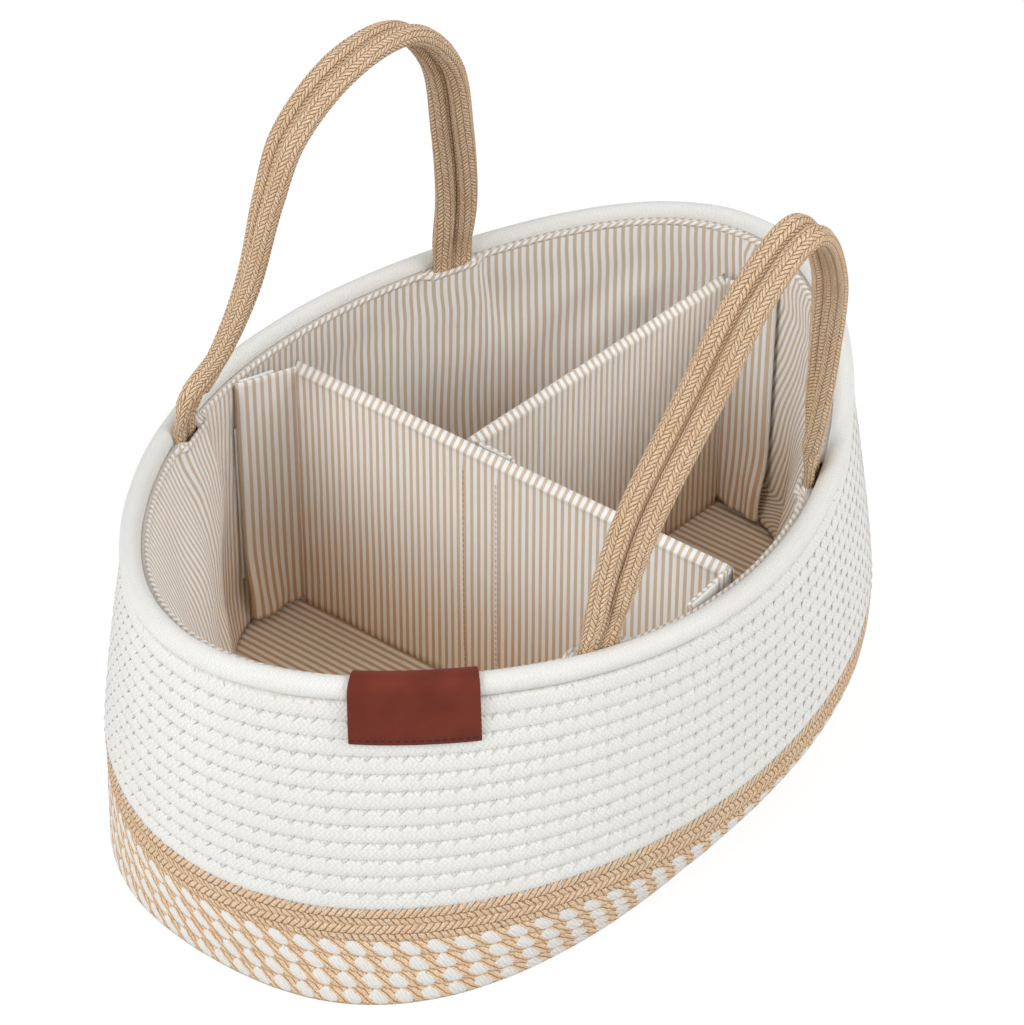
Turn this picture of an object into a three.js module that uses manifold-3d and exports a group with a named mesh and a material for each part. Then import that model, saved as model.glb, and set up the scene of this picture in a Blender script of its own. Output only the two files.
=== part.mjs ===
// A diaper caddy: an oval basket of coiled rope with a cotton lining, two braided jute handles,
// a leather tag, and two lift-out dividers that hook and loop tape holds to the lining.
// Millimetres, +Z up, +X along the length, origin at the middle of the underside.
import * as THREE from 'three';
import { mergeVertices } from 'three/addons/utils/BufferGeometryUtils.js';
import Module from 'manifold-3d';

const wasm = await Module();
wasm.setup();

// Rope wall
const BODY_LENGTH = 380; // outside, at the widest course
const BODY_WIDTH = 283;
const ROPE_WIDTH = 7.6; // through the wall
const LOW_PITCH = 8.3; // of the jute and two-tone courses
const WHITE_PITCH = 7.6;
const COURSE_GAP = 0.5;
const TWO_TONE_COURSES = 4;
const JUTE_COURSES = 2;
const WHITE_COURSES = 12;
const TUCK_COURSES = 5; // the lowest courses, which round in to the floor
const END_TUCK = 1.5; // how far the floor stands in from the widest course, at the ends
const SIDE_TUCK = 20.8; // and at the long sides
const END_DRAW = 4.4; // how far the rim stands in, at the ends
const SIDE_DRAW = 8.6; // and at the long sides
const WALL_CURVE = 1.5; // power by which tuck and draw grow
const RIM_ROPE = 9.2;
const RIM_RISE = 8.7; // the rim is this much higher at the ends, and lower at the sides
const RIM_SLIMNESS = 0.047; // share by which the rim is slimmer than an ellipse at its shoulders
const FLOOR_FULLNESS = 0.077; // and by which the floor is fuller
const ROPE_STEPS = 24; // stations in a loop
const RIM_STEPS = 48;
const CLIMB_STEPS = 4; // stations over which a loop climbs to the next course
const CLIMB_DEGREES = 15; // where the climb starts, on the far left
const BASE_THICKNESS = 8.3;

// Cotton lining
const CLOTH = 1.5;
const LINING_STATIONS = 80;
const HEM_GAP = 1.6;
const HEM_DROP = 1; // hem's top below the middle of the rim rope
const HEM_HEIGHT = 18;
const LOOP_ROOM = 1.4; // the lining steps back this far below its hem
const FLOOR_INSET = 13.8; // lining's lower edge, from the outside of the rim
const TUCK_TOP = 27; // height where the lining leaves the wall to round in to the floor
const FOLD_DEPTH = 3;
const FOLD_COUNT = 22;
const FLAT_DEGREES = 24; // no folds this close to the dividers' ends

// Leather tag
const TAG_WIDTH = 48.5;
const TAG_DROP = 26; // outside, from the top of the rim
const TAG_THICKNESS = 1.6;
const TAG_DEGREES = 215.4;
const TAG_STEPS = 8;

// Handles, each a belt of two braids
const BRAID_WIDTH = 9;
const BRAID_THICKNESS = 7;
const PIVOT_LIFT = 8; // the handles bend this far above the rim
const HANDLE_LEAN = 9; // degrees by which both handles lean to the right
const END_TWIST = 68; // degrees by which the belt turns from the arch to the wall
const HANDLE_STEPS = 32;
const STRAP_LENGTH = 48; // strap end behind the lining
const STRAP_THICKNESS = 5.5;

// Each handle's side, the angles of its near and far end round the oval, and its arch: how far
// along from the middle between its ends, and up from where it bends
const LEFT_HANDLE = {
  side: 1,
  near: 112,
  far: 56.5,
  arch: [[-64, 14], [-50, 44], [-42, 86], [-33, 114], [-6, 135], [27, 136], [54, 109], [68, 66], [77, 24]],
};
const RIGHT_HANDLE = {
  side: -1,
  near: 114.7,
  far: 66.5,
  arch: [[-66, 20], [-58, 46], [-33, 88], [-10, 125], [17, 140], [45, 106], [58, 57], [65, 20]],
};

// Dividers
const PANEL_THICKNESS = 7;
const SIDE_THICKNESS = 6;
const BOARD_THICKNESS = 3;
const COVER_EDGE = 4; // cover beyond the board, at the top and the ends
const PANEL_DROP = 3; // main panel's top below the rim at the sides
const SIDE_DROP = 4; // side panel's top below the main panel's
const MAIN_LENGTH = 225; // shorter than the basket's width: the left flap bridges the rest
const SIDE_NEAR = 20; // side panel's ends, from the basket's middle
const SIDE_FAR = 6;
const FLAP_LENGTH = 26;
const NEAR_FLAP_LENGTH = 20;
const FAR_FLAP_LENGTH = 24;
const FLAP_THICKNESS = 1.5;
const FLAP_FOOT = 17; // flap's lower edge above the panel's
const FLAP_DROP = 1; // flap's upper edge below the panel's
const TAPE_THICKNESS = 1;
const TAPE_WIDTH = 18;
const TAPE_FOOT = 4; // tape's lower edge above the flap's
const TAPE_DROP = 0.5; // hook tape's upper edge below the flap's
const LOOP_DROP = 6; // loop tape's upper edge below the hem, or below the hook tape's

// Clearances
const SEAT = 0.3; // between pieces that lie on each other
const LIFT_CLEARANCE = 0.6; // beside a piece that lifts out
const END_GAP = 0.5; // between rope ends that butt
const STRAP_GAP = 0.6; // between a strap end and the rim
const TAG_GAP = 0.7; // between the tag and the rim

const material = (color, roughness) => new THREE.MeshStandardMaterial({ color, roughness, metalness: 0 });
const WHITE_ROPE = material(0xf1efe9, 0.9);
const JUTE = material(0xcba274, 0.95);
const TWO_TONE = material(0xdfc9ab, 0.95);
const LINING = material(0xe4d3c0, 0.9);
const LEATHER = material(0x73352a, 0.55);
const TAPE = material(0xf3f2ef, 0.8);
const BOARD = material(0xd6cfc0, 0.7);

const HALF_LENGTH = BODY_LENGTH / 2;
const HALF_WIDTH = BODY_WIDTH / 2;
const COURSES = TWO_TONE_COURSES + JUTE_COURSES + WHITE_COURSES;
const WHITE_FROM = TWO_TONE_COURSES + JUTE_COURSES;
const FULL_TURN = 2 * Math.PI;
const radians = THREE.MathUtils.degToRad;

// Share of the rim's rise and slimness at a course level: none at the jute, all at the rim
function rimShare(level) {
  return THREE.MathUtils.clamp((level - WHITE_FROM) / WHITE_COURSES, 0, 1);
}

// Share of the tuck to the floor at a course level
function tuckShare(level) {
  return Math.max(0, 1 - level / TUCK_COURSES) ** WALL_CURVE;
}

function levelHeight(level, angle) {
  const low = LOW_PITCH * Math.min(level, WHITE_FROM);
  const white = WHITE_PITCH * Math.max(level - WHITE_FROM, 0);
  return COURSE_GAP / 2 + low + white + RIM_RISE * rimShare(level) * Math.cos(2 * angle);
}

// Half the wall's length and half its width at a course level
function halfSizes(level) {
  const tuck = tuckShare(level);
  const draw = rimShare(level) ** WALL_CURVE;
  const halfLength = HALF_LENGTH - END_TUCK * tuck - END_DRAW * draw;
  const halfWidth = HALF_WIDTH - SIDE_TUCK * tuck - SIDE_DRAW * draw;
  return { halfLength, halfWidth };
}

// A point at an angle round the oval, set in from the outside of the wall at a course level
function ovalPoint(angle, inset, height, level = COURSES) {
  const { halfLength, halfWidth } = halfSizes(level);
  const slimness = RIM_SLIMNESS * rimShare(level) - FLOOR_FULLNESS * tuckShare(level);
  const trim = 1 - slimness * Math.sin(2 * angle) ** 2;
  const x = (halfLength - inset) * trim * Math.cos(angle);
  const y = (halfWidth - inset) * trim * Math.sin(angle);
  return new THREE.Vector3(x, y, height);
}

// Direction along the wall at an angle round the oval
function wallTangent(angle, inset) {
  const ahead = ovalPoint(angle + 0.01, inset, 0);
  return ahead.sub(ovalPoint(angle - 0.01, inset, 0)).normalize();
}

const RIM_INSET = ROPE_WIDTH / 2; // middle of the rim rope
const RIM_INNER = RIM_INSET + RIM_ROPE / 2;
const rimHeight = (angle) => levelHeight(COURSES, angle) + COURSE_GAP / 2 + RIM_ROPE / 2;

const FLOOR_BOTTOM = BASE_THICKNESS + SEAT;
const FLOOR_TOP = FLOOR_BOTTOM + CLOTH;
const LINING_BOTTOM = FLOOR_TOP + SEAT;
const HEM_INSET = RIM_INNER + HEM_GAP;
const HANG_INSET = HEM_INSET - LOOP_ROOM;
const CLEAR_INSET = HEM_INSET + CLOTH + LIFT_CLEARANCE; // what lifts out stays inside this
const PANEL_INSET = FLOOR_INSET + CLOTH + LIFT_CLEARANCE; // and at the floor inside this

const STRAP_INSET = RIM_INNER + STRAP_GAP;
const STRAP_INNER = STRAP_INSET + STRAP_THICKNESS;
const STRAP_WIDTH = 2 * BRAID_WIDTH + SEAT;
const STRAP_TOP = rimHeight(radians(LEFT_HANDLE.far)) + RIM_ROPE / 2; // the rim is highest there
const PIVOT_HEIGHT = STRAP_TOP + PIVOT_LIFT;

// Turn rings of equal count into one closed solid, capped at both ends or joined end to start.
// A cap pairs each ring's points from its two ends, so a ring may be any strip-like outline.
function skin(rings, joined = false) {
  const count = rings[0].length;
  const index = [];
  for (let i = 0; i < rings.length - (joined ? 0 : 1); i += 1) {
    const here = i * count;
    const next = ((i + 1) % rings.length) * count;
    for (let j = 0; j < count; j += 1) {
      const k = (j + 1) % count;
      index.push(here + j, here + k, next + k, here + j, next + k, next + j);
    }
  }
  const last = (rings.length - 1) * count;
  for (let j = 0; !joined && j < count / 2 - 1; j += 1) {
    const k = count - 1 - j;
    index.push(j + 1, j, k, j + 1, k, k - 1);
    index.push(last + j, last + j + 1, last + k, last + j + 1, last + k - 1, last + k);
  }
  const points = rings.flat();
  const volume = index.reduce((sum, _, i) => {
    if (i % 3) return sum;
    const [a, b, c] = [0, 1, 2].map((n) => points[index[i + n]]);
    return sum + a.dot(b.clone().cross(c));
  }, 0);
  const geometry = new THREE.BufferGeometry().setFromPoints(points);
  geometry.setIndex(volume > 0 ? index : index.reverse());
  geometry.computeVertexNormals();
  return geometry;
}

// A solid for cutting, from a closed geometry
function solid(geometry) {
  const bare = geometry.clone();
  bare.deleteAttribute('normal');
  bare.deleteAttribute('uv');
  const merged = mergeVertices(bare, 1e-4);
  const vertProperties = new Float32Array(merged.attributes.position.array);
  const triVerts = new Uint32Array(merged.index.array);
  return new wasm.Manifold(new wasm.Mesh({ numProp: 3, vertProperties, triVerts }));
}

function subtract(body, cut) {
  const mesh = solid(body).subtract(solid(cut)).getMesh();
  const geometry = new THREE.BufferGeometry();
  geometry.setAttribute('position', new THREE.BufferAttribute(mesh.vertProperties, 3));
  geometry.setIndex(new THREE.BufferAttribute(mesh.triVerts, 1));
  geometry.computeVertexNormals();
  return geometry;
}

function box(sizeX, sizeY, sizeZ, x, y, bottom) {
  return new THREE.BoxGeometry(sizeX, sizeY, sizeZ).translate(x, y, bottom + sizeZ / 2);
}

function add(parent, name, geometry, finish) {
  const mesh = new THREE.Mesh(geometry, finish);
  mesh.name = name;
  parent.add(mesh);
  return mesh;
}

const LOWEST_LEVEL = 0.5; // middle of the lowest course

// Section of the winding at a number of turns from where it starts to climb. Each loop climbs one
// course in its first stations, and the rope tapers in where it starts and out where it ends.
function ropeSection(turns) {
  const loop = Math.floor(turns);
  const climb = Math.min(1, ((turns - loop) * ROPE_STEPS) / CLIMB_STEPS);
  const low = Math.max(0, loop - 1 + climb);
  const high = Math.min(COURSES, loop + climb);
  const level = Math.max(LOWEST_LEVEL, (low + high) / 2);
  const angle = radians(CLIMB_DEGREES) + turns * FULL_TURN;
  const bottom = levelHeight(low, angle) + COURSE_GAP / 2;
  const top = levelHeight(high, angle) - COURSE_GAP / 2;
  const middle = (bottom + top) / 2;
  const outline = [[0, middle], [1, top], [3, top], [4, middle], [3, bottom], [1, bottom]];
  return outline.map(([quarters, height]) => {
    return ovalPoint(angle, (quarters * ROPE_WIDTH) / 4, height, level);
  });
}

// Least distance between the points of sections that lie at least half a turn apart
function leastGap(sections, stepsApart) {
  let least = Infinity;
  sections.forEach((section, i) => {
    const others = sections.slice(i + stepsApart).flat();
    section.forEach((p) => others.forEach((q) => {
      least = Math.min(least, p.distanceTo(q));
    }));
  });
  return least;
}

function winding(name, from, to) {
  const turns = [from];
  for (let step = Math.floor(from * ROPE_STEPS) + 1; step < Math.floor(to * ROPE_STEPS) + 1; step += 1) {
    turns.push(step / ROPE_STEPS);
  }
  turns.push(to);
  const sections = turns.map(ropeSection);
  console.log(`${name}: least gap to itself ${leastGap(sections, ROPE_STEPS / 2).toFixed(2)} mm`);
  return skin(sections);
}

function ropeWall(basket) {
  const butt = END_GAP / (2 * Math.PI * (HALF_LENGTH + HALF_WIDTH)); // half a gap, as turns
  const tip = 1 / ROPE_STEPS;
  const whiteEnd = COURSES + (CLIMB_STEPS - 1) / ROPE_STEPS - butt;
  const windings = [
    ['two_tone_courses', tip + butt, TWO_TONE_COURSES - butt, TWO_TONE],
    ['jute_courses', TWO_TONE_COURSES + butt, WHITE_FROM - butt, JUTE],
    ['white_courses', WHITE_FROM + butt, whiteEnd, WHITE_ROPE],
  ];
  windings.forEach(([name, from, to, finish]) => add(basket, name, winding(name, from, to), finish));
}

// The base lies inside the lowest course, with the same stations
function baseCoil(basket) {
  const edge = ROPE_WIDTH + SEAT;
  const outline = (inset, height) => {
    const points = [];
    for (let i = 0; i < ROPE_STEPS; i += 1) {
      points.push(ovalPoint((i / ROPE_STEPS) * FULL_TURN, inset, height, LOWEST_LEVEL));
    }
    return points;
  };
  const chamfer = BASE_THICKNESS / 4;
  const rings = [
    outline(edge + chamfer, 0),
    outline(edge, chamfer),
    outline(edge, BASE_THICKNESS - chamfer),
    outline(edge + chamfer, BASE_THICKNESS),
  ];
  add(basket, 'base_coil', skin(rings), TWO_TONE);
}

// One thick loop on top of the wall, whose ends meet under the tag
function rimRope(basket) {
  const butt = END_GAP / (HALF_LENGTH + HALF_WIDTH);
  const sections = [];
  for (let i = 0; i <= RIM_STEPS; i += 1) {
    const share = THREE.MathUtils.clamp(i / RIM_STEPS, butt / FULL_TURN, 1 - butt / FULL_TURN);
    const angle = radians(TAG_DEGREES) + share * FULL_TURN;
    const ring = [];
    for (let corner = 0; corner < 8; corner += 1) {
      const turn = (corner / 8) * FULL_TURN;
      const inset = RIM_INSET - (RIM_ROPE / 2) * Math.cos(turn);
      ring.push(ovalPoint(angle, inset, rimHeight(angle) + (RIM_ROPE / 2) * Math.sin(turn)));
    }
    sections.push(ring);
  }
  console.log(`rim_rope: least gap to itself ${leastGap(sections, RIM_STEPS / 2).toFixed(2)} mm`);
  add(basket, 'rim_rope', skin(sections), WHITE_ROPE);
}

// Smallest angle between a direction and the nearest of several others, in degrees
function degreesFrom(angle, centres) {
  return Math.min(...centres.map((centre) => {
    const turn = THREE.MathUtils.euclideanModulo(THREE.MathUtils.radToDeg(angle) - centre + 180, 360);
    return Math.abs(turn - 180);
  }));
}

const STRAP_CENTRES = [LEFT_HANDLE, RIGHT_HANDLE].flatMap(({ side, near, far }) => [side * near, side * far]);
const DIVIDER_CENTRES = [0, 90, -90];
const SWELL_FLAT = 6; // degrees each side of a strap end where the lining lies over it
const SWELL_END = 10.5;

// The lining's outer face at an angle: rows of height and inset, from the floor up to the hem
function liningRows(angle) {
  const hemTop = rimHeight(angle) - HEM_DROP;
  const hemBottom = hemTop - HEM_HEIGHT;
  const strapBottom = STRAP_TOP - STRAP_LENGTH;
  const swellRow = (strapBottom - 2 * SEAT - LINING_BOTTOM) / (hemBottom - LINING_BOTTOM);
  const near = degreesFrom(angle, STRAP_CENTRES);
  const swell = THREE.MathUtils.clamp((SWELL_END - near) / (SWELL_END - SWELL_FLAT), 0, 1);
  const beside = degreesFrom(angle, DIVIDER_CENTRES);
  const flat = THREE.MathUtils.smoothstep(beside, (2 / 3) * FLAT_DEGREES, FLAT_DEGREES);
  const wave = FOLD_DEPTH * flat * (1 - swell) * (0.5 - 0.5 * Math.cos(FOLD_COUNT * angle));
  const over = STRAP_INNER + STRAP_GAP;
  const row = (share, fold, swollen) => {
    const height = THREE.MathUtils.lerp(LINING_BOTTOM, hemBottom, share);
    return { height, inset: THREE.MathUtils.lerp(HANG_INSET, over, swell * swollen) + wave * fold };
  };
  const hem = THREE.MathUtils.lerp(HEM_INSET, over, swell);
  return [
    { height: LINING_BOTTOM, inset: FLOOR_INSET },
    { height: TUCK_TOP, inset: HANG_INSET + wave / 2 },
    row(0.4, 1, 0),
    row(swellRow - 0.12, 0.8, 0),
    row(swellRow, 0.7, 1),
    row(0.96, 0.4, 1),
    { height: hemBottom, inset: hem },
    { height: hemTop, inset: hem },
  ];
}

function lining(basket) {
  const rings = [];
  for (let i = 0; i < LINING_STATIONS; i += 1) {
    const angle = (i / LINING_STATIONS) * FULL_TURN;
    const rows = liningRows(angle);
    const outer = rows.map((row) => ovalPoint(angle, row.inset, row.height));
    const inner = rows.map((row) => ovalPoint(angle, row.inset + CLOTH, row.height));
    rings.push([...outer, ...inner.reverse()]);
  }
  add(basket, 'lining_wall', skin(rings, true), LINING);

  const floor = [FLOOR_BOTTOM, FLOOR_TOP].map((height) => {
    const ring = [];
    for (let i = 0; i < LINING_STATIONS; i += 1) {
      ring.push(ovalPoint((i / LINING_STATIONS) * FULL_TURN, FLOOR_INSET, height));
    }
    return ring;
  });
  add(basket, 'lining_floor', skin(floor), LINING);
}

// Loop tape on the lining between two stations, below the hem and clear of the strap ends
function loopTape(basket, name, fromStation, toStation) {
  const inset = HANG_INSET + CLOTH + SEAT;
  const rings = [];
  for (let i = fromStation; i <= toStation; i += 1) {
    const angle = (i / LINING_STATIONS) * FULL_TURN;
    const top = rimHeight(angle) - HEM_DROP - HEM_HEIGHT - LOOP_DROP;
    const corners = [[0, LOOP_BOTTOM], [0, top], [TAPE_THICKNESS, top], [TAPE_THICKNESS, LOOP_BOTTOM]];
    if (degreesFrom(angle, STRAP_CENTRES) >= SWELL_END) {
      rings.push(corners.map(([depth, height]) => ovalPoint(angle, inset + depth, height)));
    }
  }
  add(basket, name, skin(rings), TAPE);
}

// The tag folds over the rim from its inner side and lies on the wall outside
function leatherTag(basket) {
  const radius = RIM_ROPE / 2 + TAG_GAP;
  const lowLevel = COURSES - (TAG_DROP - RIM_ROPE) / WHITE_PITCH;
  const profile = (offset) => {
    const points = [];
    for (let i = 0; i <= 8; i += 1) {
      const turn = Math.PI * (1 - i / 8);
      const inset = RIM_INSET - (radius + offset) * Math.cos(turn);
      points.push([inset, (radius + offset) * Math.sin(turn), COURSES]);
    }
    points.push([-SEAT - offset, RIM_ROPE / 2 - TAG_DROP, lowLevel]);
    return points;
  };
  const outline = [...profile(0), ...profile(TAG_THICKNESS).reverse()];
  const centre = radians(TAG_DEGREES);
  const reach = ovalPoint(centre + 0.01, RIM_INSET, 0).distanceTo(ovalPoint(centre, RIM_INSET, 0)) / 0.01;
  const rings = [];
  for (let i = 0; i <= TAG_STEPS; i += 1) {
    const angle = centre + ((i / TAG_STEPS - 0.5) * TAG_WIDTH) / reach;
    rings.push(outline.map(([inset, up, level]) => ovalPoint(angle, inset, rimHeight(angle) + up, level)));
  }
  add(basket, 'leather_tag', skin(rings), LEATHER);
}

// The end of a handle strap, flat between the rim and the lining
function strapEnd(basket, name, degrees) {
  const angle = radians(degrees);
  const middle = ovalPoint(angle, STRAP_INSET + STRAP_THICKNESS / 2, STRAP_TOP - STRAP_LENGTH);
  const strap = add(basket, name, box(STRAP_WIDTH, STRAP_THICKNESS, STRAP_LENGTH, 0, 0, 0), JUTE);
  const along = wallTangent(angle, STRAP_INSET);
  strap.position.copy(middle);
  strap.rotation.z = Math.atan2(along.y, along.x);
}

// Outline of one braid across its width and thickness, as shares
const BRAID_OUTLINE = [
  [0.5, 0.25], [0.25, 0.5], [-0.25, 0.5], [-0.5, 0.25],
  [-0.5, -0.25], [-0.25, -0.5], [0.25, -0.5], [0.5, -0.25],
];

// One braid of a handle, in the handle's own frame: x along its ends, y to the left, from its pivot
function braidRings(across, outward, half, points) {
  const route = [[-half, 0], ...points, [half, 0]].map(([along, up]) => new THREE.Vector3(along, 0, up));
  const arch = new THREE.CatmullRomCurve3(route);
  const side = new THREE.Vector3(0, outward, 0);
  const ring = (share, drop, size) => {
    const along = arch.getTangent(share);
    if (share === 0 || share === 1) along.set(0, 0, Math.sign(along.z)); // level at the pivot
    const rise = new THREE.Vector3(-along.z, 0, along.x);
    const twist = -radians(END_TWIST) * (2 * share - 1) ** 2;
    const width = side.clone().multiplyScalar(Math.cos(twist)).addScaledVector(rise, Math.sin(twist));
    const depth = along.clone().cross(width);
    const offset = across * ((BRAID_WIDTH / 2) * size + SEAT / 2);
    const middle = arch.getPoint(share).addScaledVector(width, offset);
    middle.z -= drop;
    return BRAID_OUTLINE.map(([w, t]) => middle.clone()
      .addScaledVector(width, w * BRAID_WIDTH * size)
      .addScaledVector(depth, t * BRAID_THICKNESS * size));
  };
  const rings = [];
  const rootShares = [0.99, 0.8, 0.45]; // the rounded root below the pivot, as shares of its depth
  const root = (share) => rootShares.map((part) => {
    return ring(share, part * (PIVOT_LIFT - SEAT), Math.sqrt(1 - part ** 2));
  });
  rings.push(...root(0));
  for (let i = 0; i <= HANDLE_STEPS; i += 1) {
    rings.push(ring(i / HANDLE_STEPS, 0, 1));
  }
  rings.push(...root(1).reverse());
  return rings;
}

// A handle and the strap ends that carry it, leaning to the right
function handle(caddy, basket, name, { side, near, far, arch }) {
  strapEnd(basket, `${name}_near_end`, side * near);
  strapEnd(basket, `${name}_far_end`, side * far);
  const [nearEnd, farEnd] = [near, far].map((degrees) => {
    return ovalPoint(radians(side * degrees), STRAP_INSET + STRAP_THICKNESS / 2, PIVOT_HEIGHT);
  });
  const half = nearEnd.distanceTo(farEnd) / 2;
  const turn = Math.atan2(farEnd.y - nearEnd.y, farEnd.x - nearEnd.x);
  const group = new THREE.Group();
  group.position.lerpVectors(nearEnd, farEnd, 0.5);
  group.rotation.set(radians(HANDLE_LEAN), 0, turn, 'ZXY');
  add(group, `${name}_outer_braid`, skin(braidRings(1, side, half, arch)), JUTE);
  add(group, `${name}_inner_braid`, skin(braidRings(-1, side, half, arch)), JUTE);
  caddy.add(group);
}

// A stiff board in a cloth cover that is open underneath, as an upright panel
function panel(group, name, sizeX, sizeY, height, x, y) {
  const thick = Math.min(sizeX, sizeY);
  const inside = BOARD_THICKNESS + 2 * SEAT;
  const slotX = sizeX === thick ? inside : sizeX - 2 * COVER_EDGE + 2 * SEAT;
  const slotY = sizeY === thick ? inside : sizeY - 2 * COVER_EDGE + 2 * SEAT;
  const slotHeight = height - COVER_EDGE + SEAT;
  const cover = box(sizeX, sizeY, height, x, y, LINING_BOTTOM);
  const slot = box(slotX, slotY, slotHeight + 1, x, y, LINING_BOTTOM - 1);
  const board = box(slotX - 2 * SEAT, slotY - 2 * SEAT, slotHeight - SEAT, x, y, LINING_BOTTOM);
  add(group, `${name}_cover`, subtract(cover, slot), LINING);
  add(group, `${name}_board`, board, BOARD);
}

// A flap hinged at a panel's end, with hook tape on its face towards the wall or the other panel.
// The flap runs from its pivot in a direction, and the tape lies to its left or right.
function flap(parent, name, pivot, direction, length, height, tapeSide) {
  const group = new THREE.Group();
  group.position.set(pivot.x, pivot.y, LINING_BOTTOM + FLAP_FOOT);
  group.rotation.z = Math.atan2(direction.y, direction.x);
  const half = FLAP_THICKNESS / 2;
  const outline = new THREE.Shape();
  outline.moveTo(0, -half).lineTo(length, -half).lineTo(length, half).lineTo(0, half);
  outline.absarc(0, 0, half, Math.PI / 2, 1.5 * Math.PI);
  const cloth = new THREE.ExtrudeGeometry(outline, { depth: height, bevelEnabled: false, curveSegments: 4 });
  add(group, `${name}_flap`, cloth, LINING);
  const tapeX = length - TAPE_WIDTH / 2 - SEAT;
  const tapeY = tapeSide * (half + SEAT + TAPE_THICKNESS / 2);
  const tapeHeight = height - TAPE_FOOT - TAPE_DROP;
  const tape = box(TAPE_WIDTH, TAPE_THICKNESS, tapeHeight, tapeX, tapeY, TAPE_FOOT);
  add(group, `${name}_hook_tape`, tape, TAPE);
  parent.add(group);
}

// Distance from a flap's pivot to its panel, and from the outside of its tape to its middle
const PIVOT_REACH = SEAT + FLAP_THICKNESS / 2;
const TAPE_REACH = FLAP_THICKNESS / 2 + SEAT + TAPE_THICKNESS;

// Angle round the clear oval at which a point has an x or a y
const CLEAR_SIZES = halfSizes(COURSES);
const angleAtX = (x) => Math.acos(x / (CLEAR_SIZES.halfLength - CLEAR_INSET));
const angleAtY = (y) => Math.asin(y / (CLEAR_SIZES.halfWidth - CLEAR_INSET));

// A flap from its pivot to the wall: the outside of its tape meets the clear oval at an angle
function wallFlap(parent, name, pivot, endAngle, length, height, tapeSide) {
  const end = ovalPoint(endAngle, CLEAR_INSET, 0).sub(pivot);
  const turn = Math.atan2(end.y, end.x) - tapeSide * Math.asin(TAPE_REACH / end.length());
  const direction = new THREE.Vector3(Math.cos(turn), Math.sin(turn), 0);
  flap(parent, name, pivot, direction, length, height, tapeSide);
}

const MAIN_TOP = rimHeight(Math.PI / 2) + RIM_ROPE / 2 - PANEL_DROP;
const MAIN_HEIGHT = MAIN_TOP - LINING_BOTTOM;
const MAIN_FACE = PANEL_THICKNESS / 2;
const MAIN_RIGHT = -ovalPoint(angleAtX(MAIN_FACE), PANEL_INSET, 0).y;
const MAIN_LEFT = MAIN_RIGHT + MAIN_LENGTH;
const MAIN_FLAP_HEIGHT = MAIN_HEIGHT - FLAP_FOOT - FLAP_DROP;
const MAIN_HINGE = -MAIN_FACE - PIVOT_REACH;
const LEFT_BRIDGE = CLEAR_SIZES.halfWidth - CLEAR_INSET - MAIN_LEFT; // from the panel's left end to the wall
const LEFT_FLAP_END = MAIN_HINGE - Math.sqrt(FLAP_LENGTH ** 2 - LEFT_BRIDGE ** 2);
const RIGHT_FLAP_END = MAIN_HINGE - FLAP_LENGTH;

const SIDE_HEIGHT = MAIN_HEIGHT - SIDE_DROP;
const SIDE_FLAP_HEIGHT = SIDE_HEIGHT - FLAP_FOOT - FLAP_DROP;
const NEAR_HINGE = SIDE_NEAR - SIDE_THICKNESS / 2 - PIVOT_REACH;
const FAR_HINGE = SIDE_FAR - SIDE_THICKNESS / 2 - PIVOT_REACH;
const FAR_FLAP_END = FAR_HINGE - FAR_FLAP_LENGTH;
const LOOP_BOTTOM = LINING_BOTTOM + FLAP_FOOT + TAPE_FOOT;

function mainDivider(caddy) {
  const group = new THREE.Group();
  const middle = (MAIN_LEFT + MAIN_RIGHT) / 2;
  panel(group, 'main_panel', PANEL_THICKNESS, MAIN_LENGTH, MAIN_HEIGHT, 0, middle);

  const loopX = MAIN_FACE + SEAT + TAPE_THICKNESS / 2;
  const loopY = NEAR_HINGE - NEAR_FLAP_LENGTH + SEAT + TAPE_WIDTH / 2;
  const loopHeight = SIDE_FLAP_HEIGHT - TAPE_FOOT - LOOP_DROP;
  const loop = box(TAPE_THICKNESS, TAPE_WIDTH, loopHeight, loopX, loopY, LOOP_BOTTOM);
  add(group, 'main_panel_loop_tape', loop, TAPE);

  const leftPivot = new THREE.Vector3(MAIN_HINGE, MAIN_LEFT - FLAP_THICKNESS, 0);
  const leftEnd = angleAtX(LEFT_FLAP_END);
  wallFlap(group, 'main_left', leftPivot, leftEnd, FLAP_LENGTH, MAIN_FLAP_HEIGHT, -1);
  const rightPivot = new THREE.Vector3(MAIN_HINGE, MAIN_RIGHT + FLAP_THICKNESS, 0);
  const rightEnd = -angleAtX(RIGHT_FLAP_END);
  wallFlap(group, 'main_right', rightPivot, rightEnd, FLAP_LENGTH, MAIN_FLAP_HEIGHT, 1);
  caddy.add(group);
}

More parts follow.
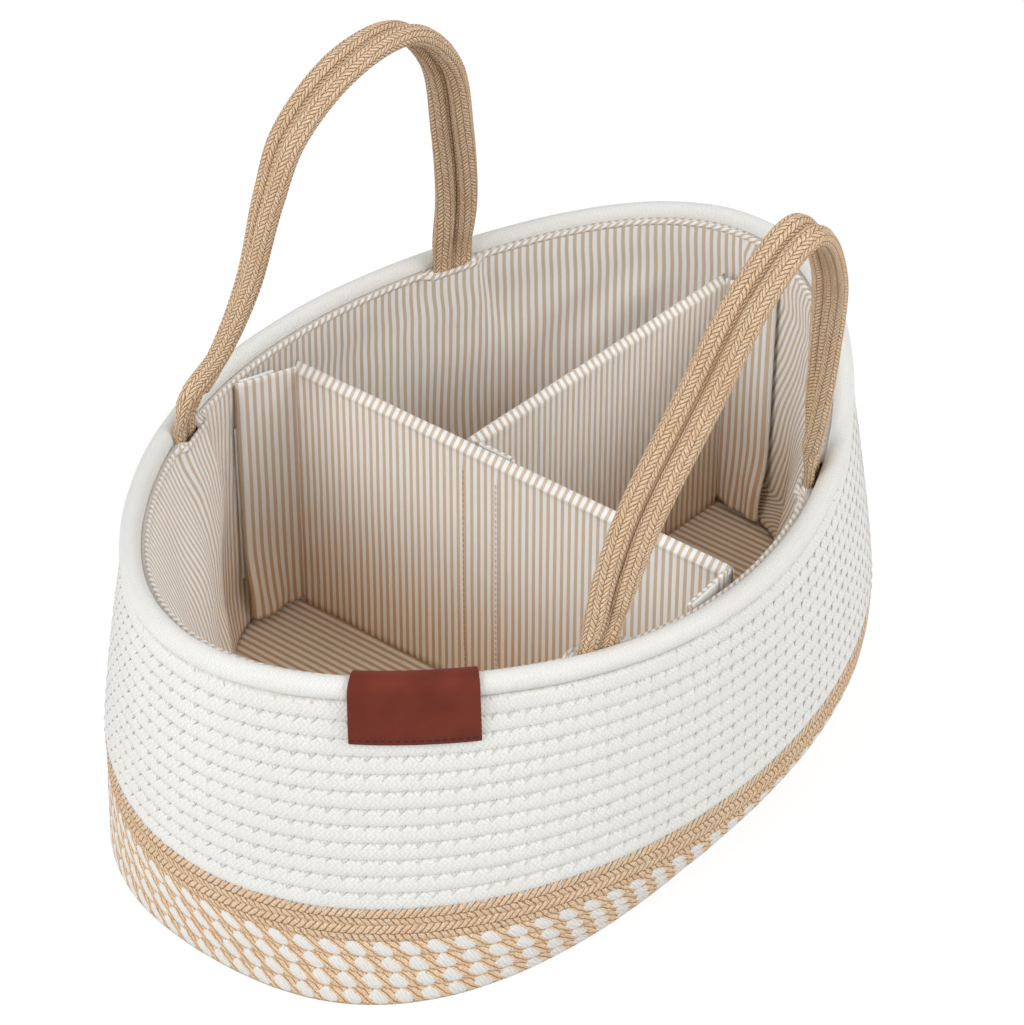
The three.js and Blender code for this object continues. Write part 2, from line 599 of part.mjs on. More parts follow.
function sideDivider(caddy) {
  const group = new THREE.Group();
  const near = new THREE.Vector3(MAIN_FACE + LIFT_CLEARANCE + SEAT, SIDE_NEAR, 0);
  const far = ovalPoint(angleAtY(SIDE_FAR + SIDE_THICKNESS / 2), PANEL_INSET, 0).setY(SIDE_FAR);
  const length = near.distanceTo(far);
  const upright = new THREE.Group();
  upright.position.copy(near);
  upright.rotation.z = Math.atan2(far.y - near.y, far.x - near.x);
  panel(upright, 'side_panel', length, SIDE_THICKNESS, SIDE_HEIGHT, length / 2, 0);
  group.add(upright);

  const nearX = MAIN_FACE + SEAT + TAPE_THICKNESS + LIFT_CLEARANCE + TAPE_REACH;
  const nearPivot = new THREE.Vector3(nearX, NEAR_HINGE, 0);
  const along = new THREE.Vector3(0, -1, 0);
  flap(group, 'side_near', nearPivot, along, NEAR_FLAP_LENGTH, SIDE_FLAP_HEIGHT, -1);
  const farPivot = new THREE.Vector3(far.x - FLAP_THICKNESS, FAR_HINGE, 0);
  const farEnd = angleAtY(FAR_FLAP_END);
  wallFlap(group, 'side_far', farPivot, farEnd, FAR_FLAP_LENGTH, SIDE_FLAP_HEIGHT, 1);
  caddy.add(group);
}

function loopTapes(basket) {
  const station = (angle) => Math.round((angle / FULL_TURN) * LINING_STATIONS);
  const leftFrom = station(angleAtX(LEFT_FLAP_END + TAPE_WIDTH));
  const leftTo = station(angleAtX(LEFT_FLAP_END));
  const rightFrom = -station(angleAtX(RIGHT_FLAP_END));
  const rightTo = -station(angleAtX(RIGHT_FLAP_END + TAPE_WIDTH));
  const endFrom = station(angleAtY(FAR_FLAP_END));
  const endTo = station(angleAtY(FAR_FLAP_END + TAPE_WIDTH));
  loopTape(basket, 'lining_loop_tape_left', leftFrom, leftTo);
  loopTape(basket, 'lining_loop_tape_right', rightFrom, rightTo);
  loopTape(basket, 'lining_loop_tape_end', endFrom, endTo);
}

const caddy = new THREE.Group();
const basket = new THREE.Group();
caddy.add(basket);
baseCoil(basket);
ropeWall(basket);
rimRope(basket);
lining(basket);
loopTapes(basket);
leatherTag(basket);
handle(caddy, basket, 'handle_left', LEFT_HANDLE);
handle(caddy, basket, 'handle_right', RIGHT_HANDLE);
mainDivider(caddy);
sideDivider(caddy);

export default caddy;
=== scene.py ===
# A diaper caddy of coiled rope with a striped cotton lining, braided jute handles and soft dividers
import math
from functools import lru_cache

import bmesh
import bpy
import numpy as np
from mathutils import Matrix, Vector, noise


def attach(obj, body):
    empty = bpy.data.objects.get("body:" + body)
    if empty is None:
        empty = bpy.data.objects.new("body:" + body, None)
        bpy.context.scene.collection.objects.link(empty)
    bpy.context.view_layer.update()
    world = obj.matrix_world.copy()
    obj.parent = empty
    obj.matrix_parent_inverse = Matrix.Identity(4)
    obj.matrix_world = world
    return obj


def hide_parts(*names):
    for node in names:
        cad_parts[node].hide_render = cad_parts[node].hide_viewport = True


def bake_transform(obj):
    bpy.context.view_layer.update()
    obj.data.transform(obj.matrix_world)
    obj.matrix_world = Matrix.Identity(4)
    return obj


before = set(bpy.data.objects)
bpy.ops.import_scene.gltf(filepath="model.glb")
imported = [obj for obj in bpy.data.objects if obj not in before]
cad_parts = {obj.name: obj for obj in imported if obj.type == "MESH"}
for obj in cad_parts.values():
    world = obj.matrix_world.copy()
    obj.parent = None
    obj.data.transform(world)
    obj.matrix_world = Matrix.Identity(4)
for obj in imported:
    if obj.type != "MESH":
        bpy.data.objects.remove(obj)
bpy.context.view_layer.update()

MM = 0.001
FULL = 2 * math.pi

# Sizes of the basket in millimetres, as in the part's source
HALF_LENGTH, HALF_WIDTH = 190, 141.5
COURSES, JUTE_FROM, WHITE_FROM = 18, 4, 6
LOW_PITCH, WHITE_PITCH, GAP, ROPE = 8.3, 7.6, 0.5, 7.6
TUCK_COURSES, WALL_CURVE = 5, 1.5
END_TUCK, SIDE_TUCK = 1.5, 20.8
END_DRAW, SIDE_DRAW = 4.4, 8.6
RIM_RISE, RIM_SLIMNESS, FLOOR_FULLNESS = 8.7, 0.047, 0.077
RIM_RADIUS, RIM_INSET = 4.6, 3.8
FLOOR_TOP, LINING_BOTTOM, TUCK_TOP = 10.1, 10.4, 27
HEM_INSET, HANG_INSET, FLOOR_INSET = 10.0, 8.6, 13.8
LOWEST_LEVEL = 0.5
CLIMB = math.radians(15)
STRIPE = 3.6


def clamp(x, low=0.0, high=1.0):
    return max(low, min(high, x))


def ease(x, low=0.0, high=1.0):
    x = clamp((x - low) / (high - low))
    return x * x * (3 - 2 * x)


def lerp(a, b, t):
    return a + (b - a) * t


def bump_at(x, middle, reach):
    return math.exp(-(((x - middle) / reach) ** 2))


def rough(x, y, z=0.0, size=1.0):
    return noise.noise(Vector((x, y, z)) / size)


def rim_share(level):
    """How far up the white rope a course level lies"""
    return clamp((level - WHITE_FROM) / (COURSES - WHITE_FROM))


def tuck_share(level):
    """How far the wall turns in under a course level"""
    return max(0, 1 - level / TUCK_COURSES) ** WALL_CURVE


def level_height(level, angle):
    courses = LOW_PITCH * min(level, WHITE_FROM) + WHITE_PITCH * max(level - WHITE_FROM, 0)
    return GAP / 2 + courses + RIM_RISE * rim_share(level) * math.cos(2 * angle)


def oval_point(angle, inset, height, level=COURSES):
    """A point at an angle round the oval, set in from the outside of the wall at a course level"""
    tuck, draw = tuck_share(level), rim_share(level) ** WALL_CURVE
    slimness = RIM_SLIMNESS * rim_share(level) - FLOOR_FULLNESS * tuck
    trim = 1 - slimness * math.sin(2 * angle) ** 2
    x = (HALF_LENGTH - END_TUCK * tuck - END_DRAW * draw - inset) * trim * math.cos(angle)
    y = (HALF_WIDTH - SIDE_TUCK * tuck - SIDE_DRAW * draw - inset) * trim * math.sin(angle)
    return Vector((x, y, height))


def rim_height(angle):
    return level_height(COURSES, angle) + GAP / 2 + RIM_RADIUS


class Round:
    """Distances along an oval, counted from an angle"""

    def __init__(self, inset, level, start=0.0):
        self.start = start
        self.angles = np.linspace(0, FULL, 1441)
        points = np.array([oval_point(start + a, inset, 0, level) for a in self.angles])
        steps = np.linalg.norm(np.diff(points, axis=0), axis=1)
        self.distances = np.concatenate([[0], np.cumsum(steps)])
        self.length = float(self.distances[-1])

    def angle(self, distance):
        turns, rest = divmod(distance, self.length)
        return self.start + turns * FULL + float(np.interp(rest, self.distances, self.angles))

    def distance(self, angle):
        turns, rest = divmod(angle - self.start, FULL)
        return turns * self.length + float(np.interp(rest, self.angles, self.distances))


# Shader building


def srgb(red, green, blue):
    def linear(c):
        c /= 255
        return c / 12.92 if c <= 0.04045 else ((c + 0.055) / 1.055) ** 2.4

    return (linear(red), linear(green), linear(blue), 1)


class Wire:
    """A node's output, on which Python sums add Math nodes"""

    def __init__(self, paint, socket):
        self.paint, self.socket = paint, socket

    def math(self, operation, *values):
        return self.paint.add("ShaderNodeMath", {"operation": operation}, dict(enumerate(values)))

    def __add__(self, other):
        return self.math("ADD", self, other)

    def __radd__(self, other):
        return self.math("ADD", other, self)

    def __sub__(self, other):
        return self.math("SUBTRACT", self, other)

    def __rsub__(self, other):
        return self.math("SUBTRACT", other, self)

    def __mul__(self, other):
        return self.math("MULTIPLY", self, other)

    def __rmul__(self, other):
        return self.math("MULTIPLY", other, self)

    def __truediv__(self, other):
        return self.math("DIVIDE", self, other)

    def __abs__(self):
        return self.math("ABSOLUTE", self)

    def __mod__(self, other):
        return self.math("FLOORED_MODULO", self, other)

    def __gt__(self, other):
        return self.math("GREATER_THAN", self, other)

    def sine(self):
        return self.math("SINE", self)

    def floor(self):
        return self.math("FLOOR", self)

    def higher(self, other):
        return self.math("MAXIMUM", self, other)

    def power(self, other):
        return self.math("POWER", self, other)

    def wave(self, pitch):
        """From 0 to 1 and back over each pitch"""
        return (self * (FULL / pitch)).sine() * 0.5 + 0.5

    def from_to(self, low, high):
        """Rises smoothly from 0 at low to 1 at high"""
        settings = {"interpolation_type": "SMOOTHSTEP"}
        return self.paint.add("ShaderNodeMapRange", settings, {0: self, 1: low, 2: high, 3: 0, 4: 1})


class Paint:
    """The nodes of a new material under construction, or of a world"""

    def __init__(self, name, world=None):
        self.material = world or bpy.data.materials.new(name)
        self.material.use_nodes = True
        self.tree = self.material.node_tree
        self.shader = self.tree.nodes["Background" if world else "Principled BSDF"]

    def add(self, kind, settings=None, inputs=None, output=0):
        node = self.tree.nodes.new(kind)
        for key, value in (settings or {}).items():
            setattr(node, key, value)
        self.fill(node, inputs or {})
        return Wire(self, node.outputs[output])

    def fill(self, node, inputs):
        for key, value in inputs.items():
            if isinstance(value, Wire):
                self.tree.links.new(value.socket, node.inputs[key])
            else:
                node.inputs[key].default_value = value

    def chart(self):
        """The piece's own UV map, in metres, as millimetres along and across"""
        place = self.add("ShaderNodeUVMap", {"uv_map": "UVMap"})
        along = self.add("ShaderNodeSeparateXYZ", {}, {0: place}, 0)
        across = self.add("ShaderNodeSeparateXYZ", {}, {0: place}, 1)
        return along * 1000, across * 1000

    def place(self, x, y, z=0.0):
        return self.add("ShaderNodeCombineXYZ", {}, {0: x, 1: y, 2: z})

    def object_place(self):
        return self.add("ShaderNodeTexCoord", {}, {}, "Object")

    def noise(self, where, size, detail=2.0, rough=0.5):
        inputs = {"Vector": where, "Scale": 1 / size, "Detail": detail, "Roughness": rough}
        return self.add("ShaderNodeTexNoise", {"noise_dimensions": "3D"}, inputs, "Fac")

    def mix(self, share, first, second):
        inputs = {0: share, 6: first, 7: second}
        return self.add("ShaderNodeMix", {"data_type": "RGBA"}, inputs, 2)

    def relief(self, height, depth):
        """A normal from a height, with its depth in millimetres"""
        inputs = {"Height": height, "Distance": depth * MM, "Strength": 1.0}
        return self.add("ShaderNodeBump", {}, inputs)

    def seen(self):
        """1 for the rays that show the background: from the camera, by a shine or through glass"""
        camera, shine, glass = (self.add("ShaderNodeLightPath", {}, {}, f"Is {kind} Ray")
                                for kind in ("Camera", "Glossy", "Transmission"))
        return camera.higher(shine).higher(glass)

    def done(self, **inputs):
        names = {key: key.replace("_", " ").title().replace("Ior", "IOR") for key in inputs}
        self.fill(self.shader, {names[key]: value for key, value in inputs.items()})
        return self.material


def cotton_rope(name, pitch, seam, stitched):
    """White cotton rope: fine slanting yarns, needle holes darkened with painted shade, and a warm painted
    shade in the seams
    """
    paint = Paint(name)
    along, around = paint.chart()
    side = around - ROPE_GIRTH / 2
    left = (along + side * 0.9).wave(pitch)
    right = (along - side * 0.9).wave(pitch)
    turn = ((along / (pitch * 1.7)).floor() + (side / (pitch * 0.8)).floor()) % 2
    yarns = left * turn + right * (1 - turn)
    grain = paint.noise(paint.place(along, around * 0.8), 0.55, 3)
    soft = paint.noise(paint.object_place(), 0.022, 2)
    height = yarns * 0.5 + grain * 0.5
    colour = paint.mix(height.from_to(0.1, 0.7), srgb(215, 213, 207), srgb(227, 227, 224))
    colour = paint.mix(soft.from_to(0.35, 0.7) * 0.3, colour, srgb(220, 218, 211))
    if seam:
        # Painted shade: towards the groove between two courses the colour turns a warm tan, broken by noise,
        # as the seam's shadow
        edge = abs(side).from_to(3.3, 3.9)
        broken = paint.noise(paint.place(along, around * 0.2), 3.2, 2).from_to(0.42, 0.6)
        colour = paint.mix(edge * broken * 0.34, colour, srgb(192, 177, 155))
    if stitched:
        # Painted shade in the needle holes: dark spots beside each seam where the thread goes in; the same
        # mask also sinks the bump there
        step = ((along + side * 0.3) % STITCH) - STITCH / 2
        rise = abs(side) - 3.1
        spot = (step * step * 2.2 + rise * rise * 0.5).power(0.5)
        ragged = paint.noise(paint.place(along, around), 5.0, 1)
        painted_shade = (1 - spot.from_to(0.3, 0.8)) * ragged.from_to(0.4, 0.6)
        colour = paint.mix(painted_shade * 0.4, colour, srgb(170, 150, 124))
        height = height - painted_shade * 1.2
    return paint.done(base_color=colour, roughness=0.92, normal=paint.relief(height, 0.2))


def jute_colour(paint, along, across, height):
    """Flecked jute, with painted shade in the gaps between its strands, and its fibres"""
    fibre = paint.noise(paint.place(along * 0.35, across * 2.6), 0.5, 3)
    patch = paint.noise(paint.object_place(), 0.012, 2)
    fleck = paint.noise(paint.place(along * 0.6, across * 1.3), 1.0, 2)
    colour = paint.mix(fibre.from_to(0.3, 0.68), srgb(202, 157, 113), srgb(252, 230, 199))
    colour = paint.mix(patch.from_to(0.35, 0.7) * 0.4, colour, srgb(224, 182, 139))
    colour = paint.mix(fleck.from_to(0.56, 0.72) * 0.7, colour, srgb(254, 240, 216))
    colour = paint.mix((1 - fleck.from_to(0.3, 0.44)) * 0.6, colour, srgb(140, 94, 58))
    # Painted shade: where the strands dip, the colour goes to a dark brown, as shade would fall in the gaps
    return paint.mix(height.from_to(0.05, 0.65), srgb(121, 80, 48), colour), fibre


def plaited_jute(name, column, pitch, lean, middle=0.0):
    """Jute rope: columns of slanting strands that lean to each other"""
    paint = Paint(name)
    along, around = paint.chart()
    uneven = paint.noise(paint.place(along, around), 2.4, 2) - 0.5
    lane = ((around - middle + uneven * 0.8) / column) % 2
    across = lane % 1
    lie = along + abs(lane - 1) * lean + (lane > 1) * (pitch / 2) + uneven * 1.9
    height = abs((lie * (math.pi / pitch)).sine()).power(0.6) * (across * (1 - across) * 4).power(0.35)
    colour, fibre = jute_colour(paint, along - around, around + along, height)
    relief = height + fibre * 0.5
    return paint.done(base_color=colour, roughness=0.95, normal=paint.relief(relief, 0.7))


def two_tone_rope(name):
    """Jute rope with white strands that surface as slanting dashes"""
    paint = Paint(name)
    along, around = paint.chart()
    side = around - ROPE_GIRTH / 2
    uneven = paint.noise(paint.place(along, around), 2.6, 2) - 0.5
    step = (along % DASH) - DASH / 2
    slope = math.radians(34)
    length = step * math.cos(slope) - side * math.sin(slope)
    width = step * math.sin(slope) + side * math.cos(slope)
    box = ((length / 5.0).power(4) + (width / 2.0).power(4)).power(0.25) + uneven * 0.6
    white = 1 - box.from_to(0.86, 1.0)
    strand = DASH * math.sin(slope) / 3
    lie = along * math.sin(slope) + side * math.cos(slope) + uneven * 1.3
    strands = abs((lie * (math.pi / strand)).sine()).power(0.6)
    jute, fibre = jute_colour(paint, along + around, around - along, strands)
    yarn = (lie + length * 0.25).wave(1.2)
    cotton = paint.mix(yarn, srgb(225, 223, 218), srgb(236, 235, 233))
    colour = paint.mix(white, jute, cotton)
    height = strands * (1 - white * 0.6) + white * 0.6 + yarn * white * 0.15 + fibre * 0.4
    return paint.done(base_color=colour, roughness=0.94, normal=paint.relief(height, 0.6))


def striped_cotton(name, depth=0.16, slant=0.0, sewn=(), fold=0.0):
    """Cotton with woven beige and white stripes along the cloth, warmer and darker towards the floor as
    painted shade, and lines of stitches where it is sewn
    """
    paint = Paint(name)
    along, across = paint.chart()
    wander = paint.noise(paint.place(along * 0.2, across * 0.05), 6.0, 2)
    lie = along + across * slant + (wander - 0.5) * 0.5
    stripe = abs((lie % STRIPE) - STRIPE / 2).from_to(STRIPE * 0.23 - 0.16, STRIPE * 0.23 + 0.16)
    weave = along.wave(0.42) * 0.5 + across.wave(0.36) * 0.5
    thread = paint.noise(paint.place(along * 3.0, across * 0.5), 1.0, 2)
    # Painted shade: the lower the cloth stands, the more both stripes turn warmer and darker, standing in for
    # the shade and warm bounced light low inside the basket
    height = paint.add("ShaderNodeSeparateXYZ", {}, {0: paint.object_place()}, 2)
    painted_shade = 1 - height.from_to(0.015, 0.095)
    beige = paint.mix(thread, srgb(212, 191, 168), srgb(224, 206, 183))
    beige = paint.mix(painted_shade, beige, srgb(216, 176, 137))
    white = paint.mix(thread, srgb(249, 248, 246), srgb(254, 254, 253))
    white = paint.mix(painted_shade, white, srgb(250, 240, 226))
    colour = paint.mix(stripe, beige, white)
    height = weave + stripe * 0.4
    for line in sewn:
        thread = (1 - abs(along - line).from_to(0.3, 0.6)) * (1 - abs((across % 3.0) - 1.5).from_to(0.8, 1.1))
        thread = thread * abs(across - fold).from_to(14, 15)
        colour = paint.mix(thread * 0.4, colour, srgb(160, 122, 88))
        height = height - thread * 2
    return paint.done(base_color=colour, roughness=0.9, normal=paint.relief(height, depth))


def tag_leather(name):
    """Brown leather with a soft sheen, fine grain and a stitched strip along its lower edge"""
    paint = Paint(name)
    along, across = paint.chart()
    where = paint.object_place()
    cell = paint.add("ShaderNodeTexVoronoi", {"feature": "DISTANCE_TO_EDGE"},
                     {"Vector": where, "Scale": 1 / 0.0011}, "Distance")
    cloud = paint.noise(where, 0.014, 3)
    fine = paint.noise(where, 0.0006, 2)
    edge = along.from_to(TAG_RUN - 3.6, TAG_RUN - 3.2)
    colour = paint.mix(cloud.from_to(0.3, 0.7), srgb(98, 35, 21), srgb(109, 43, 27))
    colour = paint.mix(edge * 0.4, colour, srgb(92, 38, 27))
    crease = 1 - abs(along - (TAG_RUN - 3.5)).from_to(0.0, 0.6)
    stitch = 1 - abs((across % 2.8) - 1.4).from_to(0.7, 1.0)
    stitch = stitch * (1 - abs(along - (TAG_RUN - 2)).from_to(0.3, 0.6))
    colour = paint.mix(stitch * 0.8, colour, srgb(62, 24, 16))
    height = cell.from_to(0.0, 0.12) * 0.5 + fine * 0.5 - crease * 1.5 + stitch * 1.2
    roughness = 0.5 + cloud * 0.14
    normal = paint.relief(height, 0.09)
    return paint.done(base_color=colour, roughness=roughness, normal=normal, specular_ior_level=0.2)


def white_thread(name):
    """White sewing thread, laid from two plies"""
    paint = Paint(name)
    along, around = paint.chart()
    ply = (along + around * 0.8).wave(0.7)
    colour = paint.mix(ply, srgb(209, 205, 196), srgb(229, 228, 224))
    return paint.done(base_color=colour, roughness=0.85, normal=paint.relief(ply, 0.12))


def pile_tape(name):
    """White hook and loop tape with a short pile"""
    paint = Paint(name)
    where = paint.object_place()
    pile = paint.noise(where, 0.0009, 3, 0.7)
    colour = paint.mix(pile, srgb(222, 221, 217), srgb(248, 248, 246))
    return paint.done(base_color=colour, roughness=0.8, normal=paint.relief(pile, 0.4))


def stiff_board(name):
    """Grey board, speckled with its fibres"""
    paint = Paint(name)
    where = paint.object_place()
    speck = paint.noise(where, 0.004, 4, 0.6)
    colour = paint.mix(speck, srgb(200, 190, 172), srgb(222, 214, 198))
    return paint.done(base_color=colour, roughness=0.8, normal=paint.relief(speck, 0.1))


# Mesh building


def cloth_grid(name, columns, rows, place, chart, caps=False):
    """A grid of faces moved into place: place takes shares along and across, and gives millimetres.
    The chart is the grid's size in metres, in which its UV map is laid, or gives a UV for two shares."""
    shape = bmesh.new()
    bmesh.ops.create_grid(shape, x_segments=columns, y_segments=rows, size=0.5)
    layer = shape.loops.layers.uv.new("UVMap")
    for face in shape.faces:
        face.smooth = True
        for corner in face.loops:
            x, y = corner.vert.co.x + 0.5, corner.vert.co.y + 0.5
            corner[layer].uv = chart(x, y) if callable(chart) else (x * chart[0], y * chart[1])
    for vert in shape.verts:
        vert.co = place(round(vert.co.x + 0.5, 6), round(vert.co.y + 0.5, 6)) * MM
    bmesh.ops.remove_doubles(shape, verts=shape.verts, dist=2e-6)
    if caps:
        for face in bmesh.ops.holes_fill(shape, edges=shape.edges, sides=0)["faces"]:
            for corner in face.loops:
                corner[layer].uv = (0, 0)
    bmesh.ops.recalc_face_normals(shape, faces=shape.faces)
    mesh = bpy.data.meshes.new(name)
    shape.to_mesh(mesh)
    shape.free()
    piece = bpy.data.objects.new(name, mesh)
    bpy.context.scene.collection.objects.link(piece)
    return piece


def dress(piece, finish, body=None, stands_for=()):
    """Gives a piece its material and its body, and hides the CAD nodes that it stands for"""
    piece.data.materials.append(finish)
    if stands_for:
        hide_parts(*stands_for)
    if body:
        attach(piece, body)
    return piece


def thicken(piece, thickness, rounded=0.0):
    wall = piece.modifiers.new("thickness", "SOLIDIFY")
    wall.thickness, wall.offset = thickness * MM, 0
    if rounded:
        edge = piece.modifiers.new("rounding", "BEVEL")
        edge.width, edge.segments, edge.limit_method = rounded * MM, 2, "ANGLE"
    return piece


# Rope wall

TAG_ANGLE, TAG_WIDTH, TAG_DROP = math.radians(215.4), 48.5, 26
TAG_CURVE = math.pi * (RIM_RADIUS + 1.5)
TAG_RUN = TAG_CURVE + TAG_DROP - RIM_RADIUS
ROPE_GIRTH = 29.2
STITCH, LOOP_OVERLAP = 6.9, 0.7
COIL = Round(4, 10, CLIMB)
DASH = COIL.length / (math.floor(COIL.length / 10.3) + 0.5)  # staggers the dashes of neighbouring loops


def rope_levels(turns):
    """Course levels of the lower and upper edge of the rope after a number of turns"""
    loop = math.floor(turns)
    climb = min(1, (turns - loop) * 6)
    return max(0, loop - 1 + climb), min(COURSES, loop + climb)


def rope_middle(distance):
    """Angle, level, height and half the thickness of the winding at a distance along it. Its loops
    overlap a little, so that the seams between them stay shallow."""
    angle = COIL.angle(distance)
    turns = (angle - CLIMB) / FULL
    low, high = rope_levels(turns)
    bottom, top = level_height(low, angle), level_height(high, angle)
    return angle, (low + high) / 2, (bottom + top) / 2, (top - bottom) / 2 + LOOP_OVERLAP


rope_middle = lru_cache(maxsize=4)(rope_middle)


def blunt(turn, power):
    """A point of a circle that is squared off the more, the lower the power"""
    c, s = math.cos(turn), math.sin(turn)
    return math.copysign(abs(c) ** power, c), math.copysign(abs(s) ** power, s)


def even_section(power, steps=720):
    """Points round a blunt circle, at even distances along its outline"""
    points = np.array([blunt((i / steps - 0.5) * FULL, power) for i in range(steps + 1)])
    walk = np.concatenate([[0], np.cumsum(np.linalg.norm(np.diff(points, axis=0), axis=1))])

    def at(share):
        spot = share * walk[-1]
        return float(np.interp(spot, walk, points[:, 0])), float(np.interp(spot, walk, points[:, 1]))

    return lru_cache(maxsize=64)(at)


ROPE_SECTION = even_section(0.3)


def winding(name, first, last, columns, sides):
    """A stretch of the wound rope, between two numbers of turns"""
    start = COIL.distance(CLIMB + first * FULL)
    end = COIL.distance(CLIMB + last * FULL)

    def place(u, v):
        distance = lerp(start, end, u)
        angle, level, middle, half = rope_middle(distance)
        out, up = ROPE_SECTION(v)
        proud = 0.2 * rough(distance, level * 9, size=14)
        inset = ROPE / 2 - (ROPE / 2 + proud) * out
        return oval_point(angle, inset, max(0.05, middle + half * up), max(0, level + up / 2))

    chart = ((end - start) * MM, ROPE_GIRTH * MM)
    return cloth_grid(name, columns, sides, place, chart, caps=True)


def rim_rope():
    """The thicker rope on top of the wall, its ends under the tag"""
    walk = Round(RIM_INSET, COURSES, TAG_ANGLE)

    def place(u, v):
        angle = walk.angle(u * walk.length * 0.99999)
        turn = v * FULL
        radius = RIM_RADIUS + 0.15 * rough(math.cos(angle) * 9, math.sin(angle) * 9, math.cos(turn))
        inset = RIM_INSET - radius * math.cos(turn)
        return oval_point(angle, inset, rim_height(angle) + radius * math.sin(turn))

    chart = (walk.length * MM, RIM_RADIUS * FULL * MM)
    return cloth_grid("rim_rope_cover", 480, 24, place, chart, caps=True)


def seam_thread():
    """One thread that zigzags over the seams of the white rope"""
    start = COIL.distance(CLIMB + (WHITE_FROM - 1) * FULL)
    end = COIL.distance(CLIMB + (COURSES - 1.02) * FULL)
    legs = int((end - start) / STITCH)
    columns = legs * 6
    radius = 0.36

    def path(distance):
        angle = COIL.angle(distance)
        turns = (angle - CLIMB) / FULL
        high = rope_levels(turns)[1]
        step = (distance / STITCH) % 1
        rise = step / 0.5 if step < 0.5 else (1 - step) / 0.5
        across = lerp(-2.7, 2.7, rise)
        lie = 0.4 if turns < WHITE_FROM else 0.28
        proud = lie * math.sin(math.pi * rise) ** 0.6 - 0.5 * (abs(across) > 2.4)
        proud -= 0.5 if step > 0.5 else 0
        level = high + across / WHITE_PITCH
        return oval_point(angle, 0.35 - proud, level_height(high, angle) + across, level)

    path = lru_cache(maxsize=4)(path)

    def place(u, v):
        distance = lerp(start, end, u)
        middle = path(distance)
        ahead = (path(distance + 0.6) - path(distance - 0.6)).normalized()
        out = Vector((middle.x / HALF_LENGTH, middle.y / HALF_WIDTH, 0)).normalized()
        side = ahead.cross(out).normalized()
        turn = v * FULL
        return middle + radius * (math.cos(turn) * out + math.sin(turn) * side)

    return cloth_grid("seam_thread", columns, 4, place, ((end - start) * MM, 0.003), caps=True)


def base_coil():
    """The flat coil of rope under the floor"""
    edge = ROPE + 0.3
    turns = 15
    reach = oval_point(math.pi / 2, 0, 0, LOWEST_LEVEL).y
    pitch = (reach - edge) / turns

    def place(u, v):
        out, up = blunt(v * FULL, 0.75)
        inset = edge + pitch * (turns - 0.5 - max(u * turns, 0.5)) - pitch / 2 * out
        return oval_point(u * turns * FULL, min(inset, reach - 0.3), 4.15 + 4.1 * up, LOWEST_LEVEL)

    return cloth_grid("base_rope", turns * 90, 8, place, (7.6, ROPE_GIRTH * MM), caps=True)


# Lining

STRAP_ANGLES = (113.2, 56.5, -115.9, -66.5)
INSIDE = Round(HEM_INSET, COURSES)
HEM_DROP = 1
CLOTH_DRIFT = 0.85  # how far the stripes follow the slack of the cloth
BELLY_DEPTH = 22
SEWN_FROM = 0.97  # share of the lining below the row that is sewn to the rim


def degrees_from(angle, centres):
    degrees = math.degrees(angle)
    return min(abs((degrees - c + 180) % 360 - 180) for c in centres)


def strap_swell(angle, drop):
    """1 where the cloth lies over the end of a handle, tight at the hem and spread out below"""
    spread = ease(drop, 4, 60)
    reach = lerp(6.0, 13.0, spread) - degrees_from(angle, STRAP_ANGLES)
    return ease(reach, 0, lerp(2.2, 9.5, spread)) * (1 - ease(drop, 40, 92))


def belly(angle, height, top):
    """The loose cloth by the near left end: it slopes in from the hem to a ridge, then falls"""
    degrees = math.degrees(angle) % 360
    depth = BELLY_DEPTH * ease(degrees, 99, 133) * (1 - ease(degrees, 158, 184))
    ridge = lerp(116, 88, ease(degrees, 98, 126))
    slope = clamp((top - 3 - height) / (top - 3 - ridge))
    profile = slope ** 0.9 - 0.08 * bump_at(height, ridge, 9) + 0.3 * ease(ridge - height, 0, 90)
    sag = 1.5 * rough(degrees / 7, height / 30)
    return depth * profile + sag * slope * depth / BELLY_DEPTH


def lining_inset(angle, height, top):
    """How far in the cloth hangs at an angle and a height"""
    drop = top - height
    hang = lerp(HEM_INSET + 0.75, HANG_INSET + 0.75, ease(drop, 6, 26))
    hang = lerp(FLOOR_INSET + 0.75, hang, ease(height, LINING_BOTTOM, TUCK_TOP))
    over = strap_swell(angle, drop)
    hang = lerp(hang, 15.0, over)
    clear = min(ease(degrees_from(angle, (94, -95)), 8, 24), ease(degrees_from(angle, (-2,)), 13, 28))
    bag = clear * 17 * (1 - ease(height, 10, 112))
    free = clear * (1 - over)
    depth = ease(drop, 4, 40) * (0.3 + 0.7 * ease(height, 8, 40))
    slant = angle + (height - 80) * 0.0034
    folds = 2.6 + 3.0 * rough(math.cos(slant) * 3.1, math.sin(slant) * 3.1, height / 90)
    wave = max(0, folds) * (0.5 + 0.5 * math.sin(slant * 17 + 2.4 * rough(slant * 2, height / 60)))
    return hang + max(bag, belly(angle, height, top)) + free * depth * wave


